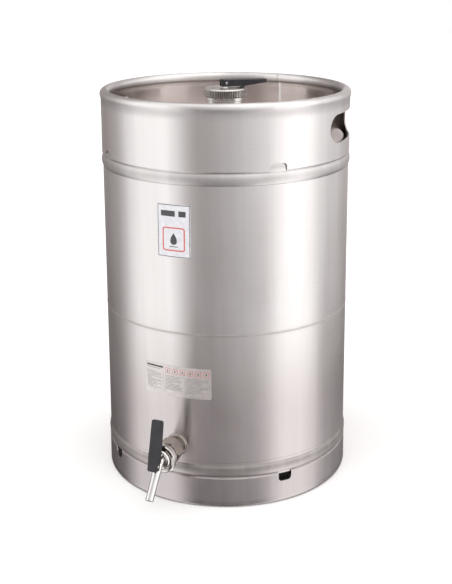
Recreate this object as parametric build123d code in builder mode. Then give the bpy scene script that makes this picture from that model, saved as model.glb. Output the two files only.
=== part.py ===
from build123d import *
import os
from math import acos, atan2, cos, degrees, radians, sin, sqrt

# Stainless drum keg of the 50 litre standard size, with a self-closing gravity tap at the foot of
# the shell and a lever-operated vent valve in the filling closure.
# Millimetres.  Keg axis on Z, origin on the axis at floor level, tap facing -Y.

os.makedirs("parts", exist_ok=True)

# ---- shell ----------------------------------------------------------------------------------
BODY_R = 187.8            # outside of the plain cylinder
WALL = 1.5
END_R = 187.0             # where the shell is necked in to take the chimes
SEAM_Z = 267.0            # girth weld
TOP_RING = (485.6, 494.5, 503.0)      # rolling ring: start, crest, end
TOP_RING_R = 189.8
LOW_RING = (66.0, 56.0, 47.5)
LOW_RING_R = 189.5
TOP_NECK_IN_Z = 506.0     # end of the necked-in band, start of the dished head
LOW_NECK_IN_Z = 45.5
TOP_KNUCKLE, TOP_CROWN = 40.0, 900.0
LOW_KNUCKLE, LOW_CROWN = 9.0, 1000.0
WELD_W, WELD_CREST, WELD_T = 3.2, 1.2, 0.35

# ---- chimes ---------------------------------------------------------------------------------
KEG_H = 600.0
TOP_CHIME_R = 189.0
TOP_CHIME_Z = 503.4       # lower edge
BEAD_R = 7.5              # rolled rim
BEAD_BORE = 5.5
RIM_R = 190.5
BEAD_SLIT = (2.3, 1.4, 5.0)           # gap in the curl: outwards from its centre, width, height
WALL_IN_BEAD = 1.4        # how far the wall runs into the rolled rim
BEAD_BLEND = 14.0         # radius that leads the wall out into the rim
LOW_CHIME_R = 189.2
LOW_CHIME_Z = 47.0        # upper edge
FOOT_R = 179.0            # inner edge of the foot flange
FOOT_T = 2.5
FOOT_ROUND = 4.0
FOOT_TAPER = 2.0
LAP_EDGE, LAP_BEVEL = 0.7, 2.0        # bevelled edges where the chimes lap the shell
CUT_REACH, CUT_PAST = RIM_R + 10, 1.0   # how far cuts run through and past a part
SLOT_AZ = 99.2            # first hand slot, degrees from the tap towards +X
SLOT_W, SLOT_H, SLOT_Z = 151.0, 42.0, 550.0
NOTCH_COUNT = 4
TOP_NOTCH_AZ, TOP_NOTCH_W, TOP_NOTCH_Z = 46.2, 25.0, 515.0
LOW_NOTCH_AZ, LOW_NOTCH_W, LOW_NOTCH_Z = 50.2, 21.5, 33.0
NOTCH_ROUND = 5.5

# ---- filling neck and closure ---------------------------------------------------------------
NECK_R, NECK_BORE = 29.0, 25.0
NECK_LEDGE_R = 19.0
NECK_BASE_Z, NECK_LEDGE_Z = 550.0, 557.0
LIP_R, LIP_Z, NECK_TOP_Z = 30.0, 580.5, 585.0
LIP_STEP, NECK_BEVEL = 1.0, 0.6
CAP_R = 32.7
CAP_Z0, CAP_Z1 = 585.6, 598.0
CAP_SKIRT_R, CAP_SKIRT_Z = 24.9, 563.2
CAP_BORE = 20.0
CAP_BEVEL = 0.8           # skirt and lower edge
CAP_CHAMFER = (1.9, 2.2)  # bright edge round the top: width, height
FLUTES, FLUTE_R, FLUTE_DEPTH = 72, 1.0, 0.7
HOUSING_R = 19.92
HOUSING_FLANGE_R = 24.7
HOUSING_FLANGE_Z = (559.0, 563.0)
HOUSING_SPIGOT_R, HOUSING_SPIGOT_Z = 18.7, 548.0
HOUSING_BEVEL, SPIGOT_BEVEL = 0.8, 1.0
SEAL_INSET = (0.5, 0.2)   # seal ring back from the ledge and from the flange
VENT_CHAMBER_R, VENT_CHAMBER_TOP = 15.0, 592.0
VENT_ORIFICE_R = 8.0
STEM_R = 3.5
STEM_FIT = 0.05
VENT_SEAL_R, SEAL_T, SEAT_GAP = 13.0, 2.5, 0.1
PLATE_T = 2.0
PLATE_INSET = 0.5
VENT_PIN_Z = 605.3
VENT_AZ = 133.0           # direction of the vent lever's arm

# ---- levers (one pattern, two heel positions) -----------------------------------------------
LEVER_W, LEVER_TIP_W = 14.6, 17.4      # seen from outside, the lever widens to its free end
LEVER_TOP, LEVER_UNDER = 5.4, -5.5     # above and below the pin centre
LEVER_BACK = 7.5          # pin centre to the short end
LEVER_TIP = 65.5          # pin centre to the free end
HUB_END = 30.0
TIP_TOP, TIP_UNDER = 3.5, -1.1
LEVER_CORNER = 3.0        # corners seen from outside
LEVER_EDGE = 0.9          # softened edges
HEEL_R, HEEL_ROOT = 2.0, 1.0
VENT_HEEL, TAP_HEEL = (27.0, -5.0), (12.0, -6.0)
FORK_W, FORK_LEN, FORK_ROOF = 5.2, 7.5, 4.0
TANG_T = 4.9
VENT_FLAT, TAP_FLAT = 7.0, 8.5         # how far below the pin the stem's flats start
PIN_R, PIN_FIT, PIN_LEN, PIN_BEVEL = 2.0, 0.05, 15.8, 0.3

# ---- tap ------------------------------------------------------------------------------------
TAP_Z = 94.0
SOCKET_R, SOCKET_BORE = 14.0, 9.0
SOCKET_D = (181.0, 210.0)              # distances from the keg axis
COLLAR_R, COLLAR_D, COLLAR_BEVEL = 15.6, 190.0, 1.2
GASKET_D, GASKET_INSET = (210.0, 211.4), 0.3
TAIL_FLANGE_R, TAIL_FLANGE_D = 13.4, 215.0
TAIL_R, TAIL_BORE = 11.0, 8.5
NUT_FLATS, NUT_D = 33.0, (203.6, 222.0)
NUT_BACK_BEVEL, NUT_FRONT_BEVEL = (2.0, 1.2), (2.4, 1.4)   # width, depth
BARREL_R, BARREL_D, BARREL_BEVEL = 15.5, (223.0, 232.5), 0.8
ORIFICE_R, ORIFICE_D = 5.5, (221.0, 224.0)
TAP_CHAMBER_R = 11.0
THREAD_R, BODY_END_D = 18.8, 236.5
RING_R, RING_D, RING_LIP_D, RING_HOLE_R = 21.4, (232.5, 241.0), 238.6, 16.2
RING_BEVEL, RING_HOLE_BEVEL = 1.2, 0.5
HEAD_FLANGE_R, HEAD_R, HEAD_D = 18.4, 14.2, 245.5
HEAD_DOME = ((0.0, 3.0), (1.0, 1.2), (3.4, 0.0))   # softened edge: in from the side, back from the face
HEAD_CAVITY_R, HEAD_CAVITY_D, HEAD_CAVITY_CONE = 7.0, 242.0, 1.8
ELBOW_D, ELBOW_R, ELBOW_BORE = 246.0, 7.6, 5.0
GLAND_R, GLAND_D = 5.0, 256.0
PAD_W, PAD_TOP, PAD_D = 11.0, 12.0, 252.8
SPOUT_TILT = 36.4         # degrees from vertical, outwards
STUB_R, STUB_LEN = 6.6, 13.0
SPOUT_R, SPOUT_BORE = 5.8, 4.4
SPOUT_TAPER_END, SPOUT_LEN, SPOUT_BEVEL = 30.0, 57.5, 0.4
TAP_SEAL_R = 8.5
TAP_PIN_D = 264.0
TAP_LEAN = 15.0           # the tap lever leans towards the keg at rest

# ---- springs --------------------------------------------------------------------------------
VENT_SPRING_R, VENT_WIRE_R, VENT_TURNS = 8.5, 0.75, 6
TAP_SPRING_R, TAP_WIRE_R, TAP_TURNS = 7.8, 0.6, 3
SPRING_GAP = 0.1

# ---- labels ---------------------------------------------------------------------------------
SIZE_LABEL = (51.0, 77.0, 418.5, 0.3)  # width, height, centre height, thickness
DATA_LABEL = (106.0, 47.0, 192.5, 0.2)
LABEL_ROUND = 3.0

KEG_SECTION = Plane.XZ
TAP_AXIS = Axis((0, 0, TAP_Z), (0, -1, 0))
TAP_SECTION = Plane(origin=(0, 0, TAP_Z), x_dir=(0, 0, 1), z_dir=(1, 0, 0))
SPOUT_DIR = (0, -sin(radians(SPOUT_TILT)), -cos(radians(SPOUT_TILT)))
SPOUT_START = (0, -ELBOW_D, TAP_Z)
SPOUT_SECTION = Plane(
    origin=SPOUT_START, x_dir=(0, SPOUT_DIR[2], -SPOUT_DIR[1]), z_dir=(1, 0, 0)
)


def tap_plane(distance):
    """Plane square to the tap axis: local x along +X, local y up, normal away from the keg."""
    return Plane(origin=(0, -distance, TAP_Z), x_dir=(1, 0, 0), z_dir=(0, -1, 0))


def facing_plane(azimuth, height):
    """Upright plane through the keg axis, its normal pointing out at the given azimuth."""
    a = radians(azimuth)
    return Plane(origin=(0, 0, height), x_dir=(cos(a), sin(a), 0), z_dir=(sin(a), -cos(a), 0))


def turned(points, section=KEG_SECTION, axis=Axis.Z, mode=Mode.ADD):
    """Turn a closed (radius, height) outline about the axis, in the current part."""
    with BuildSketch(section) as outline:
        with BuildLine():
            Polyline(*points, close=True)
        make_face()
    revolve(outline.sketch, axis=axis, mode=mode)


def meridian(t, ring, ring_r, neck_in_z, knuckle, crown, up, hole_r):
    """Draw one skin of a shell half, t inside the outer surface, and return its end point."""
    rim_z = ring[2]
    Line((BODY_R - t, SEAM_Z), (BODY_R - t, ring[0]))
    ThreePointArc((BODY_R - t, ring[0]), (ring_r - t, ring[1]), (END_R - t, rim_z))
    Line((END_R - t, rim_z), (END_R - t, neck_in_z))
    kx = END_R - knuckle
    crown_z = neck_in_z - up * sqrt((crown - knuckle) ** 2 - kx**2)
    join = degrees(atan2(neck_in_z - crown_z, kx))
    end = up * degrees(acos(hole_r / (crown - t)))
    CenterArc((kx, neck_in_z), knuckle - t, 0, join)
    CenterArc((0, crown_z), crown - t, join, end - join)
    return (hole_r, crown_z + (crown - t) * sin(radians(end)))


# ---- shell halves ---------------------------------------------------------------------------
with BuildPart() as upper_shell:
    with BuildSketch(KEG_SECTION):
        with BuildLine():
            upper = (TOP_RING, TOP_RING_R, TOP_NECK_IN_Z, TOP_KNUCKLE, TOP_CROWN, 1, NECK_R)
            outer_end = meridian(0, *upper)
            inner_end = meridian(WALL, *upper)
            Line(outer_end, inner_end)
            Line((BODY_R - WALL, SEAM_Z), (BODY_R, SEAM_Z))
        make_face()
    revolve(axis=Axis.Z)
upper_shell.part.label = "upper_shell"
export_step(upper_shell.part, "parts/upper_shell.step")

with BuildPart() as lower_shell:
    with BuildSketch(KEG_SECTION):
        with BuildLine():
            lower = (LOW_RING, LOW_RING_R, LOW_NECK_IN_Z, LOW_KNUCKLE, LOW_CROWN, -1, 0)
            outer_end = meridian(0, *lower)
            inner_end = meridian(WALL, *lower)
            Line(outer_end, inner_end)
            Line((BODY_R - WALL, SEAM_Z), (BODY_R, SEAM_Z))
        make_face()
    revolve(axis=Axis.Z)
    with BuildSketch(tap_plane(SOCKET_D[0] - 10)):
        Circle(SOCKET_R)
    extrude(amount=COLLAR_D - SOCKET_D[0] + 10, mode=Mode.SUBTRACT)
lower_shell.part.label = "lower_shell"
export_step(lower_shell.part, "parts/lower_shell.step")

with BuildPart() as girth_weld:
    turned(
        [
            (BODY_R, SEAM_Z - WELD_W / 2),
            (BODY_R + WELD_T, SEAM_Z - WELD_CREST / 2),
            (BODY_R + WELD_T, SEAM_Z + WELD_CREST / 2),
            (BODY_R, SEAM_Z + WELD_W / 2),
        ]
    )
girth_weld.part.label = "girth_weld"
export_step(girth_weld.part, "parts/girth_weld.step")

# ---- chimes ---------------------------------------------------------------------------------
with BuildPart() as top_chime:
    bead_x, bead_z = RIM_R - BEAD_R, KEG_H - BEAD_R
    wall_top = bead_z - BEAD_BORE + WALL_IN_BEAD
    with BuildSketch(KEG_SECTION) as top_chime_section:
        with BuildLine():
            Polyline(
                (END_R, TOP_CHIME_Z),
                (END_R + LAP_EDGE, TOP_CHIME_Z),
                (TOP_CHIME_R, TOP_CHIME_Z + LAP_BEVEL),
                (TOP_CHIME_R, wall_top),
                (END_R, wall_top),
                close=True,
            )
        make_face()
        with Locations((bead_x, bead_z)):
            Circle(BEAD_R)
        under_rim = top_chime_section.vertices().group_by(Axis.X)[-1].sort_by(Axis.Y)[-1]
        fillet(under_rim, BEAD_BLEND)
        with Locations((bead_x, bead_z)):
            Circle(BEAD_BORE, mode=Mode.SUBTRACT)
        # the curl stops just short of the wall
        with Locations((bead_x + BEAD_SLIT[0], bead_z - BEAD_R)):
            Rectangle(BEAD_SLIT[1], BEAD_SLIT[2], mode=Mode.SUBTRACT)
    revolve(axis=Axis.Z)
    for turn in (0, 180):
        with BuildSketch(facing_plane(SLOT_AZ + turn, SLOT_Z)):
            SlotOverall(SLOT_W, SLOT_H)
        extrude(amount=CUT_REACH, mode=Mode.SUBTRACT)
    for step in range(NOTCH_COUNT):
        azimuth = TOP_NOTCH_AZ + step * 360 / NOTCH_COUNT
        depth = 2 * (TOP_NOTCH_Z - TOP_CHIME_Z)
        with BuildSketch(facing_plane(azimuth, TOP_CHIME_Z)):
            RectangleRounded(TOP_NOTCH_W, depth, NOTCH_ROUND)
        extrude(amount=CUT_REACH, mode=Mode.SUBTRACT)
top_chime.part.label = "top_chime"
export_step(top_chime.part, "parts/top_chime.step")

with BuildPart() as bottom_chime:
    with BuildSketch(KEG_SECTION):
        with BuildLine():
            Line((END_R, LOW_CHIME_Z), (END_R + LAP_EDGE, LOW_CHIME_Z))
            Line((END_R + LAP_EDGE, LOW_CHIME_Z), (LOW_CHIME_R, LOW_CHIME_Z - LAP_BEVEL))
            Line((LOW_CHIME_R, LOW_CHIME_Z - LAP_BEVEL), (LOW_CHIME_R, FOOT_ROUND))
            CenterArc((LOW_CHIME_R - FOOT_ROUND, FOOT_ROUND), FOOT_ROUND, 0, -90)
            Line((LOW_CHIME_R - FOOT_ROUND, 0), (FOOT_R, 0))
            Line((FOOT_R, 0), (FOOT_R, FOOT_T))
            Line((FOOT_R, FOOT_T), (LOW_CHIME_R - FOOT_ROUND, FOOT_T))
            inner_round = FOOT_ROUND - FOOT_T
            CenterArc((LOW_CHIME_R - FOOT_ROUND, FOOT_ROUND), inner_round, -90, 90)
            inner_x = LOW_CHIME_R - FOOT_ROUND + inner_round
            Line((inner_x, FOOT_ROUND), (END_R, FOOT_ROUND + FOOT_TAPER))
            Line((END_R, FOOT_ROUND + FOOT_TAPER), (END_R, LOW_CHIME_Z))
        make_face()
    revolve(axis=Axis.Z)
    for step in range(NOTCH_COUNT):
        azimuth = LOW_NOTCH_AZ + step * 360 / NOTCH_COUNT
        depth = 2 * (LOW_CHIME_Z - LOW_NOTCH_Z)
        with BuildSketch(facing_plane(azimuth, LOW_CHIME_Z)):
            RectangleRounded(LOW_NOTCH_W, depth, NOTCH_ROUND)
        extrude(amount=CUT_REACH, mode=Mode.SUBTRACT)
bottom_chime.part.label = "bottom_chime"
export_step(bottom_chime.part, "parts/bottom_chime.step")

# ---- filling neck ---------------------------------------------------------------------------
with BuildPart() as filling_neck:
    turned(
        [
            (NECK_LEDGE_R, NECK_BASE_Z),
            (NECK_R, NECK_BASE_Z),
            (NECK_R, LIP_Z - LIP_STEP),
            (LIP_R, LIP_Z),
            (LIP_R, NECK_TOP_Z - NECK_BEVEL),
            (LIP_R - NECK_BEVEL, NECK_TOP_Z),
            (NECK_BORE, NECK_TOP_Z),
            (NECK_BORE, NECK_LEDGE_Z),
            (NECK_LEDGE_R, NECK_LEDGE_Z),
        ]
    )
filling_neck.part.label = "filling_neck"
export_step(filling_neck.part, "parts/filling_neck.step")

# ---- closure --------------------------------------------------------------------------------
with BuildPart() as housing_seal:
    turned(
        [
            (NECK_LEDGE_R + SEAL_INSET[0], NECK_LEDGE_Z),
            (HOUSING_FLANGE_R - SEAL_INSET[1], NECK_LEDGE_Z),
            (HOUSING_FLANGE_R - SEAL_INSET[1], HOUSING_FLANGE_Z[0]),
            (NECK_LEDGE_R + SEAL_INSET[0], HOUSING_FLANGE_Z[0]),
        ]
    )
housing_seal.part.label = "housing_seal"
export_step(housing_seal.part, "parts/housing_seal.step")

with BuildPart() as valve_housing:
    turned(
        [
            (VENT_ORIFICE_R, HOUSING_SPIGOT_Z),
            (HOUSING_SPIGOT_R - SPIGOT_BEVEL, HOUSING_SPIGOT_Z),
            (HOUSING_SPIGOT_R, HOUSING_SPIGOT_Z + SPIGOT_BEVEL),
            (HOUSING_SPIGOT_R, HOUSING_FLANGE_Z[0]),
            (HOUSING_FLANGE_R, HOUSING_FLANGE_Z[0]),
            (HOUSING_FLANGE_R, HOUSING_FLANGE_Z[1]),
            (HOUSING_R, HOUSING_FLANGE_Z[1]),
            (HOUSING_R, CAP_Z1 - HOUSING_BEVEL),
            (HOUSING_R - HOUSING_BEVEL, CAP_Z1),
            (STEM_R + STEM_FIT, CAP_Z1),
            (STEM_R + STEM_FIT, VENT_CHAMBER_TOP),
            (VENT_CHAMBER_R, VENT_CHAMBER_TOP),
            (VENT_CHAMBER_R, HOUSING_FLANGE_Z[1]),
            (VENT_ORIFICE_R, HOUSING_FLANGE_Z[1]),
        ]
    )
valve_housing.part.label = "valve_housing"
export_step(valve_housing.part, "parts/valve_housing.step")

with BuildPart() as screw_cap:
    turned(
        [
            (CAP_BORE, CAP_SKIRT_Z),
            (CAP_SKIRT_R - CAP_BEVEL, CAP_SKIRT_Z),
            (CAP_SKIRT_R, CAP_SKIRT_Z + CAP_BEVEL),
            (CAP_SKIRT_R, CAP_Z0),
            (CAP_R - CAP_BEVEL, CAP_Z0),
            (CAP_R, CAP_Z0 + CAP_BEVEL),
            (CAP_R, CAP_Z1 - CAP_CHAMFER[1]),
            (CAP_R - CAP_CHAMFER[0], CAP_Z1),
            (CAP_BORE, CAP_Z1),
        ]
    )
    with BuildSketch(Plane.XY.offset(CAP_Z0)):
        with PolarLocations(CAP_R + FLUTE_R - FLUTE_DEPTH, FLUTES):
            Circle(FLUTE_R)
    extrude(amount=CAP_Z1 - CAP_Z0, mode=Mode.SUBTRACT)
screw_cap.part.label = "screw_cap"
export_step(screw_cap.part, "parts/screw_cap.step")

VENT_SEAT_Z = HOUSING_FLANGE_Z[1] + SEAT_GAP
VENT_PLATE_Z = VENT_SEAT_Z + SEAL_T
with BuildPart() as vent_seal:
    with BuildSketch(Plane.XY.offset(VENT_SEAT_Z)):
        Circle(VENT_SEAL_R)
    extrude(amount=SEAL_T)
vent_seal.part.label = "vent_seal"
export_step(vent_seal.part, "parts/vent_seal.step")


def add_tang(side, flat):
    """Finish a stem at its pin: two flats, a rounded end and the pin hole.

    side is square to the pin with the pin centre at its origin and local y away from the valve.
    """
    for hand in (1, -1):
        with BuildSketch(side.offset(hand * (TANG_T / 2 + STEM_R))) as relief:
            with Locations((0, (STEM_R - flat) / 2)):
                Rectangle(4 * STEM_R, STEM_R + flat)
        extrude(relief.sketch, amount=STEM_R, both=True, mode=Mode.SUBTRACT)
    with BuildSketch(side) as eye:
        Circle(STEM_R)
    extrude(eye.sketch, amount=TANG_T / 2, both=True)
    with BuildSketch(side) as hole:
        Circle(PIN_R + PIN_FIT)
    extrude(hole.sketch, amount=STEM_R, both=True, mode=Mode.SUBTRACT)


def lever_body(builder, side, heel):
    """Make a lever in the given part; side holds its side view, pin at the origin, arm on +x."""
    with BuildSketch(side) as view:
        with BuildLine():
            Polyline(
                (-LEVER_BACK, LEVER_UNDER),
                (-LEVER_BACK, LEVER_TOP),
                (LEVER_TIP, TIP_TOP),
                (LEVER_TIP, TIP_UNDER),
                (HUB_END, LEVER_UNDER),
                close=True,
            )
        make_face()
    extrude(view.sketch, amount=LEVER_TIP_W / 2, both=True)
    top = Plane(origin=side.origin, x_dir=side.x_dir, z_dir=side.y_dir)
    with BuildSketch(top) as plan:
        with BuildLine():
            Polyline(
                (-LEVER_BACK, LEVER_W / 2),
                (LEVER_TIP, LEVER_TIP_W / 2),
                (LEVER_TIP, -LEVER_TIP_W / 2),
                (-LEVER_BACK, -LEVER_W / 2),
                close=True,
            )
        make_face()
        fillet(plan.vertices(), LEVER_CORNER)
    extrude(plan.sketch, amount=2 * LEVER_W, both=True, mode=Mode.INTERSECT)
    fillet(builder.edges(), LEVER_EDGE)
    with BuildSketch(side) as nose:
        with Locations(heel):
            Circle(HEEL_R)
        with Locations((heel[0], (heel[1] + LEVER_UNDER) / 2 + HEEL_ROOT)):
            Rectangle(2 * HEEL_R, LEVER_UNDER - heel[1] + 2 * HEEL_ROOT)
    extrude(nose.sketch, amount=LEVER_W / 2 - LEVER_EDGE, both=True)
    with BuildSketch(side) as fork:
        with Locations(((FORK_LEN - 2 * LEVER_BACK) / 2, (FORK_ROOF - 2 * LEVER_W) / 2)):
            Rectangle(FORK_LEN + 2 * LEVER_BACK, FORK_ROOF + 2 * LEVER_W)
    extrude(fork.sketch, amount=FORK_W / 2, both=True, mode=Mode.SUBTRACT)
    with BuildSketch(side) as hole:
        Circle(PIN_R)
    extrude(hole.sketch, amount=LEVER_W, both=True, mode=Mode.SUBTRACT)


def pin_body(builder, side):
    """Make a lever's pin in the given part."""
    with BuildSketch(side) as section:
        Circle(PIN_R)
    extrude(section.sketch, amount=PIN_LEN / 2, both=True)
    chamfer(builder.edges().filter_by(GeomType.CIRCLE), PIN_BEVEL)


def spring_body(origin, direction, height, mean_r, wire_r, turns):
    """Wind a spring in the current part, its coil starting at origin."""
    with BuildLine() as coil:
        Helix(height / turns, height, mean_r, center=origin, direction=direction)
    with BuildSketch(Plane(origin=coil.line @ 0, z_dir=coil.line % 0)) as wire:
        Circle(wire_r)
    sweep(wire.sketch, path=coil.line, is_frenet=True)


vent_side = facing_plane(VENT_AZ - 90, VENT_PIN_Z)
with BuildPart() as vent_stem:
    with BuildSketch(Plane.XY.offset(VENT_PLATE_Z)):
        Circle(VENT_SEAL_R - PLATE_INSET)
    extrude(amount=PLATE_T)
    with BuildSketch(Plane.XY.offset(VENT_PLATE_Z)):
        Circle(STEM_R)
    extrude(amount=VENT_PIN_Z - VENT_PLATE_Z)
    add_tang(vent_side, VENT_FLAT)
vent_stem.part.label = "vent_stem"
export_step(vent_stem.part, "parts/vent_stem.step")

with BuildPart() as vent_spring:
    low = VENT_PLATE_Z + PLATE_T + SPRING_GAP + VENT_WIRE_R
    high = VENT_CHAMBER_TOP - SPRING_GAP - VENT_WIRE_R
    spring_body((0, 0, low), (0, 0, 1), high - low, VENT_SPRING_R, VENT_WIRE_R, VENT_TURNS)
vent_spring.part.label = "vent_spring"
export_step(vent_spring.part, "parts/vent_spring.step")

with BuildPart() as vent_lever:
    lever_body(vent_lever, vent_side, VENT_HEEL)
vent_lever.part.label = "vent_lever"
export_step(vent_lever.part, "parts/vent_lever.step")

with BuildPart() as vent_lever_pin:
    pin_body(vent_lever_pin, vent_side)
vent_lever_pin.part.label = "vent_lever_pin"
export_step(vent_lever_pin.part, "parts/vent_lever_pin.step")

# ---- tap: socket and union ------------------------------------------------------------------
with BuildPart() as tap_socket:
    with BuildSketch(tap_plane(SOCKET_D[0])):
        Circle(COLLAR_R)
    extrude(amount=COLLAR_D - SOCKET_D[0])
    chamfer(tap_socket.edges().group_by(Axis.Y)[0], COLLAR_BEVEL)
    Cylinder(BODY_R, KEG_H, mode=Mode.SUBTRACT)
    turned(
        [
            (SOCKET_BORE, SOCKET_D[0]),
            (SOCKET_R, SOCKET_D[0]),
            (SOCKET_R, SOCKET_D[1]),
            (SOCKET_BORE, SOCKET_D[1]),
        ],
        TAP_SECTION,
        TAP_AXIS,
    )
tap_socket.part.label = "tap_socket"
export_step(tap_socket.part, "parts/tap_socket.step")

with BuildPart() as tap_gasket:
    turned(
        [
            (SOCKET_BORE + GASKET_INSET, GASKET_D[0]),
            (TAIL_FLANGE_R, GASKET_D[0]),
            (TAIL_FLANGE_R, GASKET_D[1]),
            (SOCKET_BORE + GASKET_INSET, GASKET_D[1]),
        ],
        TAP_SECTION,
        TAP_AXIS,
    )
tap_gasket.part.label = "tap_gasket"
export_step(tap_gasket.part, "parts/tap_gasket.step")

with BuildPart() as tap_union_nut:
    with BuildSketch(tap_plane(NUT_D[0])):
        RegularPolygon(NUT_FLATS / 2, 6, major_radius=False)
    extrude(amount=NUT_D[1] - NUT_D[0])
    corner = NUT_FLATS / 2 / cos(radians(30))
    turned(
        [
            (0, NUT_D[0]),
            (corner - NUT_BACK_BEVEL[0], NUT_D[0]),
            (corner, NUT_D[0] + NUT_BACK_BEVEL[1]),
            (corner, NUT_D[1] - NUT_FRONT_BEVEL[1]),
            (corner - NUT_FRONT_BEVEL[0], NUT_D[1]),
            (0, NUT_D[1]),
        ],
        TAP_SECTION,
        TAP_AXIS,
        Mode.INTERSECT,
    )
    turned(
        [
            (0, NUT_D[0] - CUT_PAST),
            (SOCKET_R, NUT_D[0] - CUT_PAST),
            (SOCKET_R, TAIL_FLANGE_D),
            (TAIL_R, TAIL_FLANGE_D),
            (TAIL_R, NUT_D[1] + CUT_PAST),
            (0, NUT_D[1] + CUT_PAST),
        ],
        TAP_SECTION,
        TAP_AXIS,
        Mode.SUBTRACT,
    )
tap_union_nut.part.label = "tap_union_nut"
export_step(tap_union_nut.part, "parts/tap_union_nut.step")

# ---- tap: body, head and spout --------------------------------------------------------------
with BuildPart() as tap_body:
    turned(
        [
            (TAIL_BORE, GASKET_D[1]),
            (TAIL_FLANGE_R, GASKET_D[1]),
            (TAIL_FLANGE_R, TAIL_FLANGE_D),
            (TAIL_R, TAIL_FLANGE_D),
            (TAIL_R, BARREL_D[0]),
            (BARREL_R - BARREL_BEVEL, BARREL_D[0]),
            (BARREL_R, BARREL_D[0] + BARREL_BEVEL),
            (BARREL_R, BARREL_D[1]),
            (THREAD_R, BARREL_D[1]),
            (THREAD_R, BODY_END_D),
            (TAP_CHAMBER_R, BODY_END_D),
            (TAP_CHAMBER_R, ORIFICE_D[1]),
            (ORIFICE_R, ORIFICE_D[1]),
            (ORIFICE_R, ORIFICE_D[0]),
            (TAIL_BORE, ORIFICE_D[0]),
        ],
        TAP_SECTION,
        TAP_AXIS,
    )
tap_body.part.label = "tap_body"
export_step(tap_body.part, "parts/tap_body.step")

with BuildPart() as tap_ring_nut:
    turned(
        [
            (THREAD_R, RING_D[0]),
            (RING_R - RING_BEVEL, RING_D[0]),
            (RING_R, RING_D[0] + RING_BEVEL),
            (RING_R, RING_D[1] - RING_BEVEL),
            (RING_R - RING_BEVEL, RING_D[1]),
            (RING_HOLE_R + RING_HOLE_BEVEL, RING_D[1]),
            (RING_HOLE_R, RING_D[1] - RING_HOLE_BEVEL),
            (RING_HOLE_R, RING_LIP_D),
            (THREAD_R, RING_LIP_D),
        ],
        TAP_SECTION,
        TAP_AXIS,
    )
tap_ring_nut.part.label = "tap_ring_nut"
export_step(tap_ring_nut.part, "parts/tap_ring_nut.step")

with BuildPart() as tap_head:
    turned(
        [
            (0, BODY_END_D),
            (HEAD_FLANGE_R, BODY_END_D),
            (HEAD_FLANGE_R, RING_LIP_D),
            (HEAD_R, RING_LIP_D),
            *[(HEAD_R - inward, HEAD_D - back) for inward, back in HEAD_DOME],
            (ELBOW_R, HEAD_D),
            (ELBOW_R, ELBOW_D),
            (0, ELBOW_D),
        ],
        TAP_SECTION,
        TAP_AXIS,
    )
    # elbow: a ball with the spout stub below and the gland boss and heel pad in front
    with Locations(SPOUT_START):
        Sphere(ELBOW_R)
    turned(
        [(0, 0), (STUB_R, 0), (STUB_R, STUB_LEN), (0, STUB_LEN)],
        SPOUT_SECTION,
        Axis(SPOUT_START, SPOUT_DIR),
    )
    turned(
        [(0, ELBOW_D), (GLAND_R, ELBOW_D), (GLAND_R, GLAND_D), (0, GLAND_D)],
        TAP_SECTION,
        TAP_AXIS,
    )
    with BuildSketch(tap_plane(HEAD_D - CUT_PAST)):
        with Locations((0, PAD_TOP / 2)):
            Rectangle(PAD_W, PAD_TOP)
    extrude(amount=PAD_D - HEAD_D + CUT_PAST)
    turned(
        [
            (0, BODY_END_D),
            (HEAD_CAVITY_R, BODY_END_D),
            (HEAD_CAVITY_R, HEAD_CAVITY_D - HEAD_CAVITY_CONE),
            (ELBOW_BORE, HEAD_CAVITY_D),
            (ELBOW_BORE, ELBOW_D),
            (0, ELBOW_D),
        ],
        TAP_SECTION,
        TAP_AXIS,
        Mode.SUBTRACT,
    )
    with Locations(SPOUT_START):
        Sphere(ELBOW_BORE, mode=Mode.SUBTRACT)
    turned(
        [(0, 0), (SPOUT_BORE, 0), (SPOUT_BORE, STUB_LEN + CUT_PAST), (0, STUB_LEN + CUT_PAST)],
        SPOUT_SECTION,
        Axis(SPOUT_START, SPOUT_DIR),
        Mode.SUBTRACT,
    )
    gland_bore = STEM_R + STEM_FIT
    turned(
        [(0, ELBOW_D), (gland_bore, ELBOW_D), (gland_bore, GLAND_D + CUT_PAST), (0, GLAND_D + CUT_PAST)],
        TAP_SECTION,
        TAP_AXIS,
        Mode.SUBTRACT,
    )
tap_head.part.label = "tap_head"
export_step(tap_head.part, "parts/tap_head.step")

with BuildPart() as spout_tube:
    turned(
        [
            (SPOUT_BORE, STUB_LEN),
            (STUB_R, STUB_LEN),
            (SPOUT_R, SPOUT_TAPER_END),
            (SPOUT_R, SPOUT_LEN - SPOUT_BEVEL),
            (SPOUT_R - SPOUT_BEVEL, SPOUT_LEN),
            (SPOUT_BORE, SPOUT_LEN),
        ],
        SPOUT_SECTION,
        Axis(SPOUT_START, SPOUT_DIR),
    )
spout_tube.part.label = "spout_tube"
export_step(spout_tube.part, "parts/spout_tube.step")

# ---- tap: valve and lever -------------------------------------------------------------------
TAP_SEAT_D = ORIFICE_D[1] + SEAT_GAP
TAP_PLATE_D = TAP_SEAT_D + SEAL_T
with BuildPart() as tap_seal:
    with BuildSketch(tap_plane(TAP_SEAT_D)):
        Circle(TAP_SEAL_R)
    extrude(amount=SEAL_T)
tap_seal.part.label = "tap_seal"
export_step(tap_seal.part, "parts/tap_seal.step")

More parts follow.
